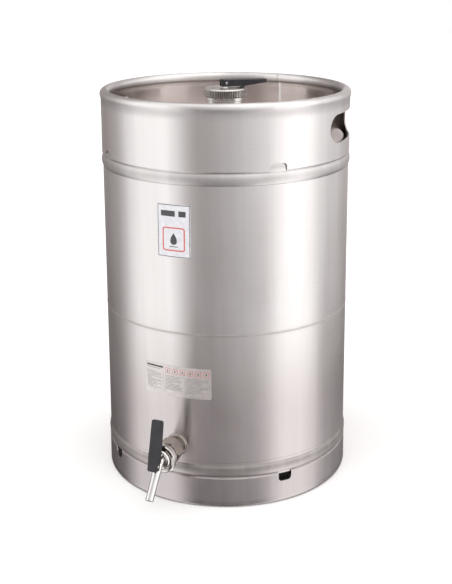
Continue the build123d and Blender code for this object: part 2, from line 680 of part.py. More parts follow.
with BuildPart() as tap_stem:
    with BuildSketch(tap_plane(TAP_PLATE_D)):
        Circle(TAP_SEAL_R)
    extrude(amount=PLATE_T)
    with BuildSketch(tap_plane(TAP_PLATE_D)):
        Circle(STEM_R)
    extrude(amount=TAP_PIN_D - TAP_PLATE_D)
    add_tang(
        Plane(origin=(0, -TAP_PIN_D, TAP_Z), x_dir=(0, 0, 1), z_dir=(1, 0, 0)),
        TAP_FLAT,
    )
tap_stem.part.label = "tap_stem"
export_step(tap_stem.part, "parts/tap_stem.step")

with BuildPart() as tap_spring:
    low = TAP_PLATE_D + PLATE_T + SPRING_GAP + TAP_WIRE_R
    high = BODY_END_D - SPRING_GAP - TAP_WIRE_R
    spring_body(
        (0, -low, TAP_Z), (0, -1, 0), high - low, TAP_SPRING_R, TAP_WIRE_R, TAP_TURNS
    )
tap_spring.part.label = "tap_spring"
export_step(tap_spring.part, "parts/tap_spring.step")

lean = radians(TAP_LEAN)
tap_side = Plane(
    origin=(0, -TAP_PIN_D, TAP_Z), x_dir=(0, sin(lean), cos(lean)), z_dir=(1, 0, 0)
)
with BuildPart() as tap_lever:
    lever_body(tap_lever, tap_side, TAP_HEEL)
tap_lever.part.label = "tap_lever"
export_step(tap_lever.part, "parts/tap_lever.step")

with BuildPart() as tap_lever_pin:
    pin_body(tap_lever_pin, tap_side)
tap_lever_pin.part.label = "tap_lever_pin"
export_step(tap_lever_pin.part, "parts/tap_lever_pin.step")


# ---- labels ---------------------------------------------------------------------------------
def label_body(width, height, middle, thickness):
    """Wrap a label on the front of the cylinder, in the current part."""
    with BuildSketch(Plane.XY.offset(middle - height / 2)) as band:
        Circle(BODY_R + thickness)
        Circle(BODY_R, mode=Mode.SUBTRACT)
    extrude(band.sketch, amount=height)
    with BuildSketch(facing_plane(0, middle)) as outline:
        RectangleRounded(width, height, LABEL_ROUND)
    extrude(outline.sketch, amount=CUT_REACH, mode=Mode.INTERSECT)


with BuildPart() as size_label:
    label_body(*SIZE_LABEL)
size_label.part.label = "size_label"
export_step(size_label.part, "parts/size_label.step")

with BuildPart() as data_label:
    label_body(*DATA_LABEL)
data_label.part.label = "data_label"
export_step(data_label.part, "parts/data_label.step")
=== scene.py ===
import math
from collections import namedtuple

import bmesh
import bpy
from mathutils import Matrix, Vector


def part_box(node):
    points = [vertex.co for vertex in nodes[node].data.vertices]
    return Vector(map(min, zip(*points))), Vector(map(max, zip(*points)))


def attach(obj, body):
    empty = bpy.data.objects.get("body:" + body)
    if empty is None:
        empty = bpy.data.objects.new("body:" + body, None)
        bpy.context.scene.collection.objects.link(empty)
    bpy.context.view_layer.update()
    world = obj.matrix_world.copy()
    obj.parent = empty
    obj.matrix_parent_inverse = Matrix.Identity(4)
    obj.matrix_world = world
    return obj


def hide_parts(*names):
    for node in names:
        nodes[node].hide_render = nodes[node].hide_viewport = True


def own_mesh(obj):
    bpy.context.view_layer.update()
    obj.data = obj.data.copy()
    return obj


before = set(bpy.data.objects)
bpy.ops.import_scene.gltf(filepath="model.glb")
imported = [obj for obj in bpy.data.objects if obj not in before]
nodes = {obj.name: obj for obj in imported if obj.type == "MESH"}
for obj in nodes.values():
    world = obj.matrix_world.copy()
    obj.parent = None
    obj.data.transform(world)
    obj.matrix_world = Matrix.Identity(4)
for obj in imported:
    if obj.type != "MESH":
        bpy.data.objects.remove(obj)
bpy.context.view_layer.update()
MM = 0.001

# The keg's axis is Z and the tap faces -Y. Azimuths turn from the tap towards +X, in degrees.
CAMERA_AZ = 23.2
CAMERA_DISTANCE = 1.680     # from the keg's axis
CAMERA_HEIGHT = 0.818
CAMERA_TILT = 76.52         # degrees up from straight down
CAMERA_ROLL = -0.30


def towards(azimuth, distance, height=0.0):
    """The point at a distance from the keg's axis, at an azimuth."""
    a = math.radians(azimuth)
    return Vector((distance * math.sin(a), -distance * math.cos(a), height))


def placed(name, data):
    """A new object in the scene."""
    made = bpy.data.objects.new(name, data)
    bpy.context.scene.collection.objects.link(made)
    return made


# ---- camera and light ---------------------------------------------------------------------------
def make_camera():
    """Looks down on the keg from the right of the tap."""
    data = bpy.data.cameras.new("camera")
    data.lens = 68.4
    data.shift_y = -0.15
    camera = placed("camera", data)
    camera.location = towards(CAMERA_AZ, CAMERA_DISTANCE, CAMERA_HEIGHT)
    look = Matrix.Rotation(math.radians(CAMERA_AZ), 4, "Z")
    look = look @ Matrix.Rotation(math.radians(CAMERA_TILT), 4, "X")
    look = look @ Matrix.Rotation(math.radians(CAMERA_ROLL), 4, "Z")
    camera.rotation_euler = look.to_euler()
    return camera


def make_overhead():
    """One very soft light for the floor, the labels and the plastic; the steel doesn't mirror it."""
    data = bpy.data.lights.new("overhead", "SUN")
    data.energy = 1.2
    data.angle = math.radians(70)
    light = placed("overhead", data)
    light.location = towards(CAMERA_AZ - 35, 1.2, 2.4)
    aim = Vector((0, 0, 0.3)) - light.location
    light.rotation_euler = aim.to_track_quat("-Z", "Y").to_euler()
    light.visible_glossy = False


class Nodes:
    """The node tree of a world or a material, with short calls for the nodes that fill it."""

    def __init__(self, made):
        self.made = made
        self.made.use_nodes = True
        self.tree = made.node_tree
        self.tree.nodes.clear()

    def add(self, kind, inputs=(), out=0, **settings):
        """Adds a node, its inputs linked to sockets or set to values, and returns an output."""
        node = self.tree.nodes.new("ShaderNode" + kind)
        for key, value in settings.items():
            setattr(node, key, value)
        for key, value in dict(inputs).items():
            if isinstance(value, bpy.types.NodeSocket):
                self.tree.links.new(value, node.inputs[key])
            else:
                node.inputs[key].default_value = value
        return node.outputs[out] if node.outputs else None

    def maths(self, operation, a, b=0.0):
        return self.add("Math", {0: a, 1: b}, operation=operation)

    def total(self, first, *others):
        for value in others:
            first = self.maths("ADD", first, value)
        return first

    def product(self, first, *others):
        for value in others:
            first = self.maths("MULTIPLY", first, value)
        return first

    def between(self, value, low, high, a=0.0, b=1.0, curve="LINEAR"):
        """Maps low..high to a..b."""
        inputs = {"Value": value, "From Min": low, "From Max": high, "To Min": a, "To Max": b}
        return self.add("MapRange", inputs, interpolation_type=curve)

    def ease(self, value, low, high, a=0.0, b=1.0):
        """Maps low..high to a..b, smooth at both ends."""
        return self.between(value, low, high, a, b, "SMOOTHSTEP")

    def mix(self, factor, a, b, blend="MIX"):
        """Mixes two colours, each a socket or three numbers."""
        a, b = (c if isinstance(c, bpy.types.NodeSocket) else (*c, 1) for c in (a, b))
        return self.add("Mix", {0: factor, 6: a, 7: b}, out=2, data_type="RGBA", blend_type=blend)


class Studio(Nodes):
    """The room round the keg: a surround that brightens to the right, a ceiling light and two tall
    soft boxes. The camera itself sees a plain white backdrop."""

    def __init__(self):
        super().__init__(bpy.data.worlds.new("studio"))
        direction = self.add("TexCoord", out="Generated")
        self.up = self.add("SeparateXYZ", {0: direction}, out="Z")
        near = self.along(direction, CAMERA_AZ)
        across = self.along(direction, CAMERA_AZ + 90)
        # level angle in degrees from the camera's side of the keg, towards the picture's right
        self.azimuth = self.product(self.maths("ARCTAN2", across, near), 180 / math.pi)
        self.light_up()

    def along(self, direction, azimuth):
        """How far a direction points towards an azimuth."""
        inputs = {0: direction, 1: towards(azimuth, 1.0)}
        return self.add("VectorMath", inputs, out="Value", operation="DOT_PRODUCT")

    def surround(self):
        """Brighter to the right, about half as bright behind the keg, and dark low down except
        straight below."""
        rightwards = self.ease(self.azimuth, -26, 34, 0.76, 1.30)
        behind = self.ease(self.maths("ABSOLUTE", self.azimuth), 112, 150, 1.0, 0.54)
        lower = self.ease(self.up, -0.50, -0.06, 0.10, 1.0)
        lowest = self.ease(self.up, -0.96, -0.74, 0.3, 0.0)
        return self.product(rightwards, behind, self.total(lower, lowest))

    def soft_box(self, begin, full, fade, end, low, high):
        """A tall soft light. It begins, is full, fades and ends at azimuths from left to right, and
        low and high are its strengths near the floor and above that."""
        left = self.ease(self.azimuth, begin, full)
        right = self.ease(self.azimuth, fade, end, 1.0, 0.0)
        strength = self.ease(self.up, -0.52, -0.20, low, high)
        top = self.ease(self.up, 0.55, 0.80, 1.0, 0.0)
        return self.product(self.product(left, right), self.product(strength, top))

    def light_up(self):
        """Adds the lights up and makes them the world's surface."""
        ceiling = self.ease(self.up, 0.62, 0.92, 0.0, 0.75)
        left_box = self.soft_box(begin=-122, full=-88, fade=-58, end=-28, low=1.36, high=0.86)
        right_box = self.soft_box(begin=27, full=64, fade=82, end=112, low=1.70, high=0.60)
        light = self.total(self.surround(), ceiling, left_box, right_box)
        # the dim parts of the room are warmer than the bright ones
        tone = self.mix(self.ease(light, 0.2, 1.2), (1.0, 0.90, 0.89), (1.0, 0.985, 0.98))
        room = self.add("Background", {"Color": tone, "Strength": light})
        backdrop = self.add("Background", {"Color": (1.0, 1.0, 1.0, 1)})
        seen = self.add("LightPath", out="Is Camera Ray")
        shown = self.add("MixShader", {0: seen, 1: room, 2: backdrop})
        self.add("OutputWorld", {0: shown})


bpy.context.scene.camera = make_camera()
bpy.context.scene.view_settings.view_transform = "Standard"
make_overhead()
bpy.context.scene.world = Studio().made


# ---- materials ----------------------------------------------------------------------------------
Band = namedtuple("Band", "height half amount")      # a level strip: middle, half width, strength
Inside = namedtuple("Inside", "low high radius")     # two heights, and the radius it lies within
Grooves = namedtuple("Grooves", "bottom crest top")  # two radii, and the height the grooves end at

STEEL_DARK, STEEL_LIGHT = (0.645, 0.625, 0.617), (0.74, 0.726, 0.722)
# painted shade for the drum's lower part
SPLASHED = (0.76, 0.725, 0.73)
# painted shade for the sides that face the keg's axis
PICKLED = (0.80, 0.745, 0.72)
WELD_TINT = (0.60, 0.565, 0.52)
LINE_SHADE = (0.20, 0.185, 0.175)
GROOVE_SOIL = (0.09, 0.075, 0.065)
# painted brown reflection
BROWNED = (0.42, 0.36, 0.31)
# painted shade for what shows through the drain notches
SOOT_DARK, SOOT_LIGHT = (0.010, 0.009, 0.009), (0.030, 0.027, 0.026)
SPLASH_TOP, SPLASH_FULL = 0.32, 0.12     # heights between which the painted shade low down builds up
SATIN = 0.31                             # roughness of the drum


class Material(Nodes):
    """A Principled material; keywords with _ for a space set the shader's own sockets."""

    def __init__(self, name, metallic=0.0, **fixed):
        super().__init__(bpy.data.materials.new(name))
        out = self.tree.nodes.new("ShaderNodeOutputMaterial")
        self.shader = self.tree.nodes.new("ShaderNodeBsdfPrincipled")
        self.tree.links.new(self.shader.outputs[0], out.inputs[0])
        self.shader.inputs["Metallic"].default_value = metallic
        for socket, value in fixed.items():
            self.shader.inputs[socket.replace("_", " ")].default_value = value
        self.place = self.add("TexCoord", out="Object")

    def finish(self, colour, roughness, normal=None):
        """Feeds the shader and returns the material."""
        self.tree.links.new(colour, self.shader.inputs["Base Color"])
        self.tree.links.new(roughness, self.shader.inputs["Roughness"])
        if normal is not None:
            self.tree.links.new(normal, self.shader.inputs["Normal"])
        return self.made

    def noise(self, scale, stretch=(1, 1, 1), detail=3.0, rough=0.5, distortion=0.0):
        """Noise whose scale is in features per metre; stretch divides its length on each axis."""
        scaled = self.add("VectorMath", {0: self.place, 1: stretch}, operation="MULTIPLY")
        inputs = {"Vector": scaled, "Scale": scale, "Detail": detail, "Roughness": rough}
        inputs["Distortion"] = distortion
        return self.add("TexNoise", inputs)

    def axis(self, name):
        return self.add("SeparateXYZ", {0: self.place}, out=name)

    def radius(self):
        """Distance from the keg's axis."""
        x, y = self.axis("X"), self.axis("Y")
        return self.maths("SQRT", self.total(self.product(x, x), self.product(y, y)))

    def band(self, value, middle, half):
        """1 at the middle value, falling to 0 at half away from it."""
        off = self.maths("ABSOLUTE", self.maths("SUBTRACT", value, middle))
        return self.ease(off, 0.0, half, 1.0, 0.0)

    def bump(self, height, distance, strength, under=None):
        inputs = {"Height": height, "Distance": distance, "Strength": strength}
        if under is not None:
            inputs["Normal"] = under
        return self.add("Bump", inputs)

    def edges(self, radius, grain=900.0):
        """A broken mask along convex edges, where handling wears them."""
        soft = self.add("Bevel", {"Radius": radius}, samples=6)
        sharp = self.add("NewGeometry", out="Normal")
        both = self.add("VectorMath", {0: soft, 1: sharp}, out="Value", operation="DOT_PRODUCT")
        broken = self.between(self.noise(grain, detail=4), 0.38, 0.62)
        return self.product(self.between(both, 0.995, 0.90), broken)

    def around(self, axis="Z"):
        """Stretches gloss across fine lines that run round the axis."""
        tangent = self.add("Tangent", direction_type="RADIAL", axis=axis)
        self.tree.links.new(tangent, self.shader.inputs["Tangent"])
        self.shader.inputs["Anisotropic Rotation"].default_value = 0.25


def drum_steel(name, dark, light, rough, lines=(), polish=(), weld=None, dull=None, soiled=None):
    """Satin stainless with fine lines round Z, painted darker low down as shade.
    lines are dark bands, some joint lines and some painted shade, as their comments say; polish is
    bands that lose roughness, or gain it below 0; weld is the height of a pickled weld; dull
    is a side facing the keg's axis, painted darker as shade; soiled is the (low, high) of a strip
    painted near black as shade."""
    steel = Material(name, metallic=1.0, Anisotropic=0.95)
    height = steel.axis("Z")
    grain = steel.noise(22, (1, 1, 90), detail=5, rough=0.65)
    fine = steel.noise(60, (1, 1, 70), detail=2, rough=0.7)
    cloud = steel.noise(7, (1, 1, 0.6), detail=5, rough=0.6)
    wipes = steel.noise(34, (1, 1, 0.05), detail=3, rough=0.6, distortion=0.4)
    scuff = steel.between(steel.noise(55, (1, 1, 5), detail=6, rough=0.72, distortion=1.2), 0.62, 0.74)

    tone = steel.total(steel.product(grain, 0.35), steel.product(cloud, 0.65))
    colour = steel.mix(steel.between(tone, 0.30, 0.70), dark, light)
    wiped = tuple(0.88 * part for part in light)
    colour = steel.mix(steel.between(wipes, 0.35, 0.7, 0.0, 0.25), colour, wiped, "MULTIPLY")
    # painted shade: the drum darker towards its foot
    splashes = steel.ease(height, SPLASH_TOP, SPLASH_FULL)
    splashes = steel.total(splashes, steel.between(cloud, 0.3, 0.7, -0.06, 0.06))
    colour = steel.mix(splashes, colour, SPLASHED, "MULTIPLY")
    roughness = steel.total(
        steel.between(cloud, 0.3, 0.7, rough - 0.05, rough + 0.05),
        steel.between(grain, 0.3, 0.7, -0.015, 0.015),
        steel.product(scuff, -0.025),
    )

    wavy = steel.total(height, steel.between(cloud, 0.3, 0.7, -0.0002, 0.0002))
    for shade in lines:
        broken = steel.between(wipes, 0.3, 0.6, 0.55 * shade.amount, shade.amount)
        broken = steel.product(steel.band(wavy, shade.height, shade.half), broken)
        colour = steel.mix(broken, colour, LINE_SHADE)
    if weld is not None:
        tint = steel.between(steel.noise(90, (1, 1, 3)), 0.35, 0.65, 0.1, 0.5)
        colour = steel.mix(steel.product(steel.band(height, weld, 0.009), tint), colour, WELD_TINT)
        roughness = steel.total(roughness, steel.product(steel.band(height, weld, 0.006), 0.08))
    # painted shade on the inside, which is also made smoother
    if dull:
        inside = steel.product(
            steel.between(steel.radius(), dull.radius, dull.radius + 0.0008, 1.0, 0.0),
            steel.between(height, dull.low, dull.low + 0.002),
            steel.between(height, dull.high - 0.004, dull.high, 1.0, 0.0),
        )
        colour = steel.mix(inside, colour, PICKLED, "MULTIPLY")
        roughness = steel.total(roughness, steel.product(inside, -0.13))
    # painted shade: a strip made nearly black
    if soiled:
        low, high = soiled
        strip = steel.between(height, low, low + 0.001)
        strip = steel.product(strip, steel.between(height, high - 0.001, high, 1.0, 0.0))
        soot = steel.mix(steel.between(scuff, 0.0, 1.0, 0.3, 0.8), SOOT_DARK, SOOT_LIGHT)
        colour = steel.mix(strip, colour, soot)
        roughness = steel.total(roughness, steel.product(strip, 0.3))
    for smooth in polish:
        band = steel.band(height, smooth.height, smooth.half)
        roughness = steel.total(roughness, steel.product(band, -smooth.amount))

    waves = steel.bump(steel.noise(5.5, (1, 1, 0.5), detail=2), distance=0.0016, strength=0.5)
    scratches = steel.bump(fine, distance=0.000024, strength=0.25, under=waves)
    steel.around()
    return steel.finish(colour, roughness, scratches)


def turned_steel(name, dark, light, rough, axis="Z", wear=0.0006, grain=1.0, brown=0.0, grooves=None):
    """Machined or polished stainless with turning marks round an axis and brighter worn edges.
    brown is how much painted brown reflection it carries; grooves are cut along Z
    and carry painted shade at their bottoms."""
    steel = Material(name, metallic=1.0, Anisotropic=0.2)
    along = {"Z": (1, 1, 60), "Y": (1, 60, 1)}[axis]
    marks = steel.noise(45, along, detail=4, rough=0.6)
    cloud = steel.noise(55, detail=5, rough=0.6)
    smear = steel.noise(160, detail=5, rough=0.65, distortion=0.6)
    colour = steel.mix(steel.between(marks, 0.35, 0.65), dark, light)
    # painted brown reflection in patches
    if brown:
        colour = steel.mix(steel.between(cloud, 0.42, 0.68, 0.0, brown), colour, BROWNED)
    # painted shade at the bottoms of the grooves
    if grooves:
        radius = steel.radius()
        deep = steel.product(
            steel.between(radius, grooves.bottom - 0.0003, grooves.bottom),
            steel.between(radius, grooves.bottom, grooves.crest, 1.0, 0.0),
            steel.maths("LESS_THAN", steel.axis("Z"), grooves.top),
            0.9,
        )
        colour = steel.mix(deep, colour, GROOVE_SOIL)
    rim = steel.edges(wear)
    colour = steel.mix(rim, colour, tuple(min(1.0, 1.12 * part) for part in light))
    spread = 0.35 * rough
    roughness = steel.between(cloud, 0.35, 0.65, rough - spread, rough + spread)
    roughness = steel.total(roughness, steel.between(smear, 0.5, 0.75, 0.0, 0.10))
    roughness = steel.product(roughness, steel.between(rim, 0.0, 1.0, 1.0, 0.7))
    steel.around(axis)
    return steel.finish(colour, roughness, steel.bump(marks, distance=0.00003 * grain, strength=0.6))


def moulded_black(name):
    """Satin moulded plastic, blue-black, with a fine grain, worn edges and a few rubs."""
    plastic = Material(name, IOR=1.5, Specular_IOR_Level=0.42)
    grain = plastic.noise(2400, detail=2)
    cloud = plastic.noise(70, detail=4, rough=0.6)
    rubs = plastic.noise(190, (1, 1, 0.35), detail=5, rough=0.7, distortion=0.8)
    rubs = plastic.between(rubs, 0.60, 0.74)
    colour = plastic.mix(plastic.between(cloud, 0.3, 0.7), (0.010, 0.0095, 0.012), (0.020, 0.019, 0.023))
    rim = plastic.edges(0.0009, 700)
    colour = plastic.mix(plastic.product(rim, 0.55), colour, (0.10, 0.10, 0.115))
    colour = plastic.mix(plastic.product(rubs, 0.35), colour, (0.050, 0.049, 0.056))
    roughness = plastic.between(cloud, 0.3, 0.7, 0.34, 0.46)
    roughness = plastic.total(roughness, plastic.product(rim, -0.08))
    relief = plastic.total(grain, plastic.product(rubs, 0.5))
    return plastic.finish(colour, roughness, plastic.bump(relief, distance=0.00006, strength=0.35))


def seal_rubber(name):
    """Black rubber with a greyish bloom."""
    rubber = Material(name, IOR=1.5)
    bloom = rubber.noise(240, detail=5, rough=0.65)
    colour = rubber.mix(rubber.between(bloom, 0.35, 0.7), (0.018, 0.018, 0.019), (0.060, 0.058, 0.056))
    roughness = rubber.between(bloom, 0.3, 0.7, 0.55, 0.75)
    grain = rubber.noise(1500, detail=3)
    return rubber.finish(colour, roughness, rubber.bump(grain, distance=0.00008, strength=0.4))


def spring_wire(name):
    """Drawn wire, a little duller in places."""
    wire = Material(name, metallic=1.0)
    draw = wire.noise(900, (1, 1, 0.4), detail=4)
    colour = wire.mix(wire.between(draw, 0.35, 0.65), (0.40, 0.39, 0.38), (0.62, 0.61, 0.60))
    roughness = wire.between(wire.noise(300, detail=4), 0.3, 0.7, 0.22, 0.40)
    return wire.finish(colour, roughness, wire.bump(draw, distance=0.00002, strength=0.5))


def vinyl_film(name, low, high, rough, rim_tone, sheer=0.0):
    """A printed film: faint mottle, handling marks and slightly soiled edges; sheer lets the
    steel's sheen through."""
    film = Material(name, metallic=sheer, IOR=1.46, Coat_Weight=0.15, Coat_Roughness=0.25)
    mottle = film.noise(150, detail=5, rough=0.6)
    smear = film.noise(60, (1, 1, 0.5), detail=5, rough=0.7, distortion=0.7)
    smear = film.between(smear, 0.5, 0.72)
    colour = film.mix(film.between(mottle, 0.35, 0.65), low, high)
    colour = film.mix(film.product(smear, 0.18), colour, rim_tone)
    colour = film.mix(film.product(film.edges(0.0006, 500), 0.5), colour, rim_tone)
    roughness = film.between(smear, 0.0, 1.0, rough, rough + 0.12)
    grain = film.noise(420, detail=4)
    return film.finish(colour, roughness, film.bump(grain, distance=0.00003, strength=0.35))


def print_ink(name, low, high):
    """Ink that is worn lighter in places."""
    ink = Material(name, IOR=1.46)
    wear = ink.noise(700, detail=5, rough=0.7)
    colour = ink.mix(ink.between(wear, 0.35, 0.7), low, high)
    roughness = ink.between(wear, 0.3, 0.7, 0.35, 0.5)
    return ink.finish(colour, roughness, ink.bump(wear, distance=0.00001, strength=0.3))


weld_low, weld_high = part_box("girth_weld")
GIRTH_Z = (weld_low.z + weld_high.z) / 2
upper_steel = drum_steel(
    "upper_shell_steel", STEEL_DARK, STEEL_LIGHT, SATIN, weld=GIRTH_Z,
    lines=[
        Band(0.4856, 0.0009, 0.60),     # lower edge of the rolling ring
        Band(0.5022, 0.0010, 0.40),     # edge of the chime
        Band(0.5100, 0.0058, 0.32),     # painted shade in the crevice inside the chime
        Band(0.4950, 0.0075, 0.22),     # painted shade on the ring's crest, dimming its highlight
    ],
    polish=[Band(0.4945, 0.013, -0.12)],
    # painted shade inside the well
    dull=Inside(0.512, 0.600, 0.1850),
)
lower_steel = drum_steel(
    "lower_shell_steel", STEEL_DARK, STEEL_LIGHT, SATIN, weld=GIRTH_Z,
    lines=[
        Band(0.0652, 0.0009, 0.85),     # upper edge of the rolling ring
        Band(0.0705, 0.0006, 0.60),     # a finer line over it
        Band(0.0485, 0.0010, 0.50),     # edge of the chime
        Band(0.0600, 0.0085, 0.62),     # painted shade on the ring's upper side, dimming its highlight
    ],
    polish=[Band(0.058, 0.014, -0.12)],
    soiled=(0.008, 0.0455),             # painted shade on what shows through the drain notches
)
top_chime_steel = drum_steel(
    "top_chime_steel", STEEL_DARK, STEEL_LIGHT, SATIN,
    lines=[Band(0.5036, 0.0008, 0.3)],      # its lower edge
    polish=[
        Band(0.602, 0.008, 0.05),           # the rim's top
        Band(0.585, 0.012, -0.20),          # the bend under the rim
    ],
    # painted shade on the chime's inner wall
    dull=Inside(0.500, 0.590, 0.1872),
)
low_chime_steel = drum_steel(
    # colours painted darker than the drum's, as shade low down
    "bottom_chime_steel", (0.57, 0.55, 0.55), (0.67, 0.655, 0.65), SATIN,
    lines=[
        Band(0.0466, 0.0014, 0.65),     # painted shade on its upper edge, dimming its highlight
        Band(0.0012, 0.0016, 0.45),     # painted shade where it stands on the floor
    ],
    polish=[Band(0.006, 0.006, 0.05)],
)
weld_steel = drum_steel("weld_steel", (0.55, 0.53, 0.51), (0.70, 0.68, 0.66), rough=0.40)
ground_steel = drum_steel("ground_weld_steel", (0.66, 0.65, 0.64), (0.82, 0.81, 0.80), rough=0.26)
girth_steel = drum_steel("girth_weld_steel", (0.60, 0.58, 0.565), (0.70, 0.685, 0.67), rough=0.55)

neck_steel = turned_steel("neck_steel", (0.60, 0.58, 0.56), (0.78, 0.765, 0.75), rough=0.26)
cap_steel = turned_steel(
    "cap_steel", (0.50, 0.475, 0.45), (0.66, 0.64, 0.615), rough=0.30,
    wear=0.0005, grooves=Grooves(bottom=0.0320, crest=0.0326, top=0.5957),
)
closure_steel = turned_steel("closure_steel", (0.62, 0.60, 0.58), (0.80, 0.79, 0.77), rough=0.22)
pin_steel = turned_steel("pin_steel", (0.70, 0.69, 0.68), (0.86, 0.85, 0.84), rough=0.16)
tap_polished = turned_steel(
    "tap_polished_steel", (0.56, 0.53, 0.51), (0.76, 0.745, 0.73), rough=0.13,
    axis="Y", grain=0.5, brown=0.30,
)
# its colours are painted dark brown, as a reflection
tap_nut_steel = turned_steel(
    "tap_nut_steel", (0.27, 0.23, 0.20), (0.54, 0.50, 0.465), rough=0.08,
    axis="Y", wear=0.0007, brown=0.85,
)
# its colours are painted dark, as shade and reflection behind the nut
socket_steel = turned_steel(
    "socket_steel", (0.22, 0.195, 0.18), (0.36, 0.33, 0.31), rough=0.27,
    axis="Y", wear=0.0003, brown=0.4,
)
spout_steel = turned_steel(
    "spout_steel", (0.54, 0.53, 0.525), (0.68, 0.675, 0.67), rough=0.11, axis="Y", grain=0.4,
)
black = moulded_black("lever_black")
seal = seal_rubber("seal_rubber")
wire = spring_wire("spring_steel")
white_film = vinyl_film(
    "label_white_film", (0.53, 0.53, 0.565), (0.61, 0.61, 0.64), rough=0.36,
    rim_tone=(0.54, 0.53, 0.53),
)
grey_film = vinyl_film(
    "label_grey_film", (0.53, 0.495, 0.485), (0.61, 0.575, 0.565), rough=0.40,
    rim_tone=(0.50, 0.47, 0.45), sheer=0.7,
)
dark_ink = print_ink("print_dark", (0.030, 0.030, 0.034), (0.075, 0.075, 0.082))
grey_ink = print_ink("print_grey", (0.15, 0.14, 0.14), (0.26, 0.25, 0.245))
red_ink = print_ink("print_red", (0.46, 0.105, 0.095), (0.56, 0.18, 0.165))

FINISH = {
    "upper_shell": upper_steel, "lower_shell": lower_steel, "girth_weld": girth_steel,
    "top_chime": top_chime_steel, "bottom_chime": low_chime_steel, "filling_neck": neck_steel,
    "valve_housing": closure_steel, "vent_stem": closure_steel, "screw_cap": cap_steel,
    "tap_socket": socket_steel, "tap_union_nut": tap_nut_steel, "tap_body": tap_polished,
    "tap_ring_nut": tap_polished, "tap_head": tap_polished, "tap_stem": tap_polished,
    "spout_tube": spout_steel, "vent_lever_pin": pin_steel, "tap_lever_pin": pin_steel,
    "vent_lever": black, "tap_lever": black, "housing_seal": seal, "vent_seal": seal,
    "tap_seal": seal, "tap_gasket": seal, "vent_spring": wire, "tap_spring": wire,
    "size_label": white_film, "data_label": grey_film,
}
for name, finish in FINISH.items():
    mesh = nodes[name].data
    mesh.materials.clear()
    mesh.materials.append(finish)


# ---- pieces -------------------------------------------------------------------------------------
def piece(name, mesh_maker, finishes, body="keg"):
    """Makes a mesh object in the row frame, gives it its finishes and lets it ride on a body."""
    bm = bmesh.new()
    mesh_maker(bm)
    bmesh.ops.recalc_face_normals(bm, faces=bm.faces)
    mesh = bpy.data.meshes.new(name)
    bm.to_mesh(mesh)
    bm.free()
    for finish in finishes:
        mesh.materials.append(finish)
    for face in mesh.polygons:
        face.use_smooth = True
    made = placed(name, mesh)
    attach(made, body)
    return made


def rows_of_quads(bm, rows, closed_rows=False, closed_across=False, capped=False):
    """Joins rows of points with quads; capped closes the first and last rows with a face."""
    verts = [[bm.verts.new(point) for point in row] for row in rows]
    count = len(verts)
    for i in range(count if closed_rows else count - 1):
        a, b = verts[i], verts[(i + 1) % count]
        for j in range(len(a) if closed_across else len(a) - 1):
            k = (j + 1) % len(a)
            bm.faces.new((a[j], a[k], b[k], b[j]))
    if capped:
        bm.faces.new(verts[0])
        bm.faces.new(verts[-1])


def spread(first, last, count):
    """Evenly spaced values from first to last, in a number of steps."""
    return [first + (last - first) * i / count for i in range(count + 1)]


def line(start, end, step=0.0012):
    """Points from start to end, about a step apart."""
    count = max(2, round(math.dist(start, end) / step))
    return list(zip(spread(start[0], end[0], count), spread(start[1], end[1], count)))


def arc(centre, radius, first, last, count=22):
    """Points on an arc, angles in degrees from the radial direction towards up."""
    angles = [math.radians(angle) for angle in spread(first, last, count)]
    return [(centre[0] + radius * math.cos(a), centre[1] + radius * math.sin(a)) for a in angles]


def ripple(i, pitch, seed):
    """The scale of a weld bead at step i: overlapping ripples with a little unevenness."""
    return 1.0 - 0.10 * ((i % pitch) / pitch) + 0.06 * math.sin(0.37 * i + seed)


def fillet_bead(size, steps, section, seed, place):
    """Returns a maker for a rippled fillet weld round a circle. section is the angles of the
    points across it, in degrees from outwards towards upwards; place says where a point goes,
    given its turn round the circle and how far it is outwards and upwards from the bead's middle."""

    def make(bm):
        rows = []
        for i in range(steps):
            a = 2 * math.pi * i / steps
            here = size * ripple(i, 5, seed)
            angles = [math.radians(angle) for angle in section]
            rows.append([place(a, here * math.cos(t), here * math.sin(t)) for t in angles])
        rows_of_quads(bm, rows, closed_rows=True)

    return make


NECK_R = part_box("filling_neck")[1].x - 1.2 * MM      # just inside the neck, under its lip
HEAD_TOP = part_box("upper_shell")[1].z - 0.7 * MM     # just inside the dished head
SHELL_R = 187.8 * MM
BEAD_SUNK = 0.3 * MM                                 # how far the socket's bead is set in
socket_low, socket_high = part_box("tap_socket")
COLLAR_R = (socket_high.x - socket_low.x) / 2 - BEAD_SUNK
SOCKET_Z = (socket_high.z + socket_low.z) / 2


def on_neck(a, outwards, upwards):
    """Round the filling neck, on the dished head."""
    out = NECK_R + outwards
    return Vector((out * math.sin(a), -out * math.cos(a), HEAD_TOP + upwards))


def on_socket(a, outwards, upwards):
    """Round the tap socket's collar, on the shell's curved side."""
    out = COLLAR_R + outwards
    x, z = out * math.cos(a), SOCKET_Z + out * math.sin(a)
    return Vector((x, BEAD_SUNK - upwards - math.sqrt(SHELL_R**2 - x**2), z))


neck_bead = fillet_bead(2.6 * MM, steps=240, section=spread(-8, 98, 6), seed=1.0, place=on_neck)
piece("neck_weld_bead", neck_bead, [weld_steel])
socket_bead = fillet_bead(1.7 * MM, steps=150, section=spread(-10, 95, 5), seed=2.0, place=on_socket)
piece("socket_weld_bead", socket_bead, [socket_steel])


SEAM_AZ = 174
SEAM_SUNK = 0.03 * MM                    # how far a seam's edges lie under the surface
TOP_WALL_OUT, TOP_WALL_IN = 189.0 * MM, 187.0 * MM
LOW_WALL_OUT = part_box("bottom_chime")[1].x
RIM = (183.0 * MM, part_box("top_chime")[1].z - 7.5 * MM)
RIM_R = 7.52 * MM
UNDER_RIM = (203.0 * MM, 584.6 * MM)     # centre of the bend between the wall and the rim
UNDER_RIM_R = 14.0 * MM


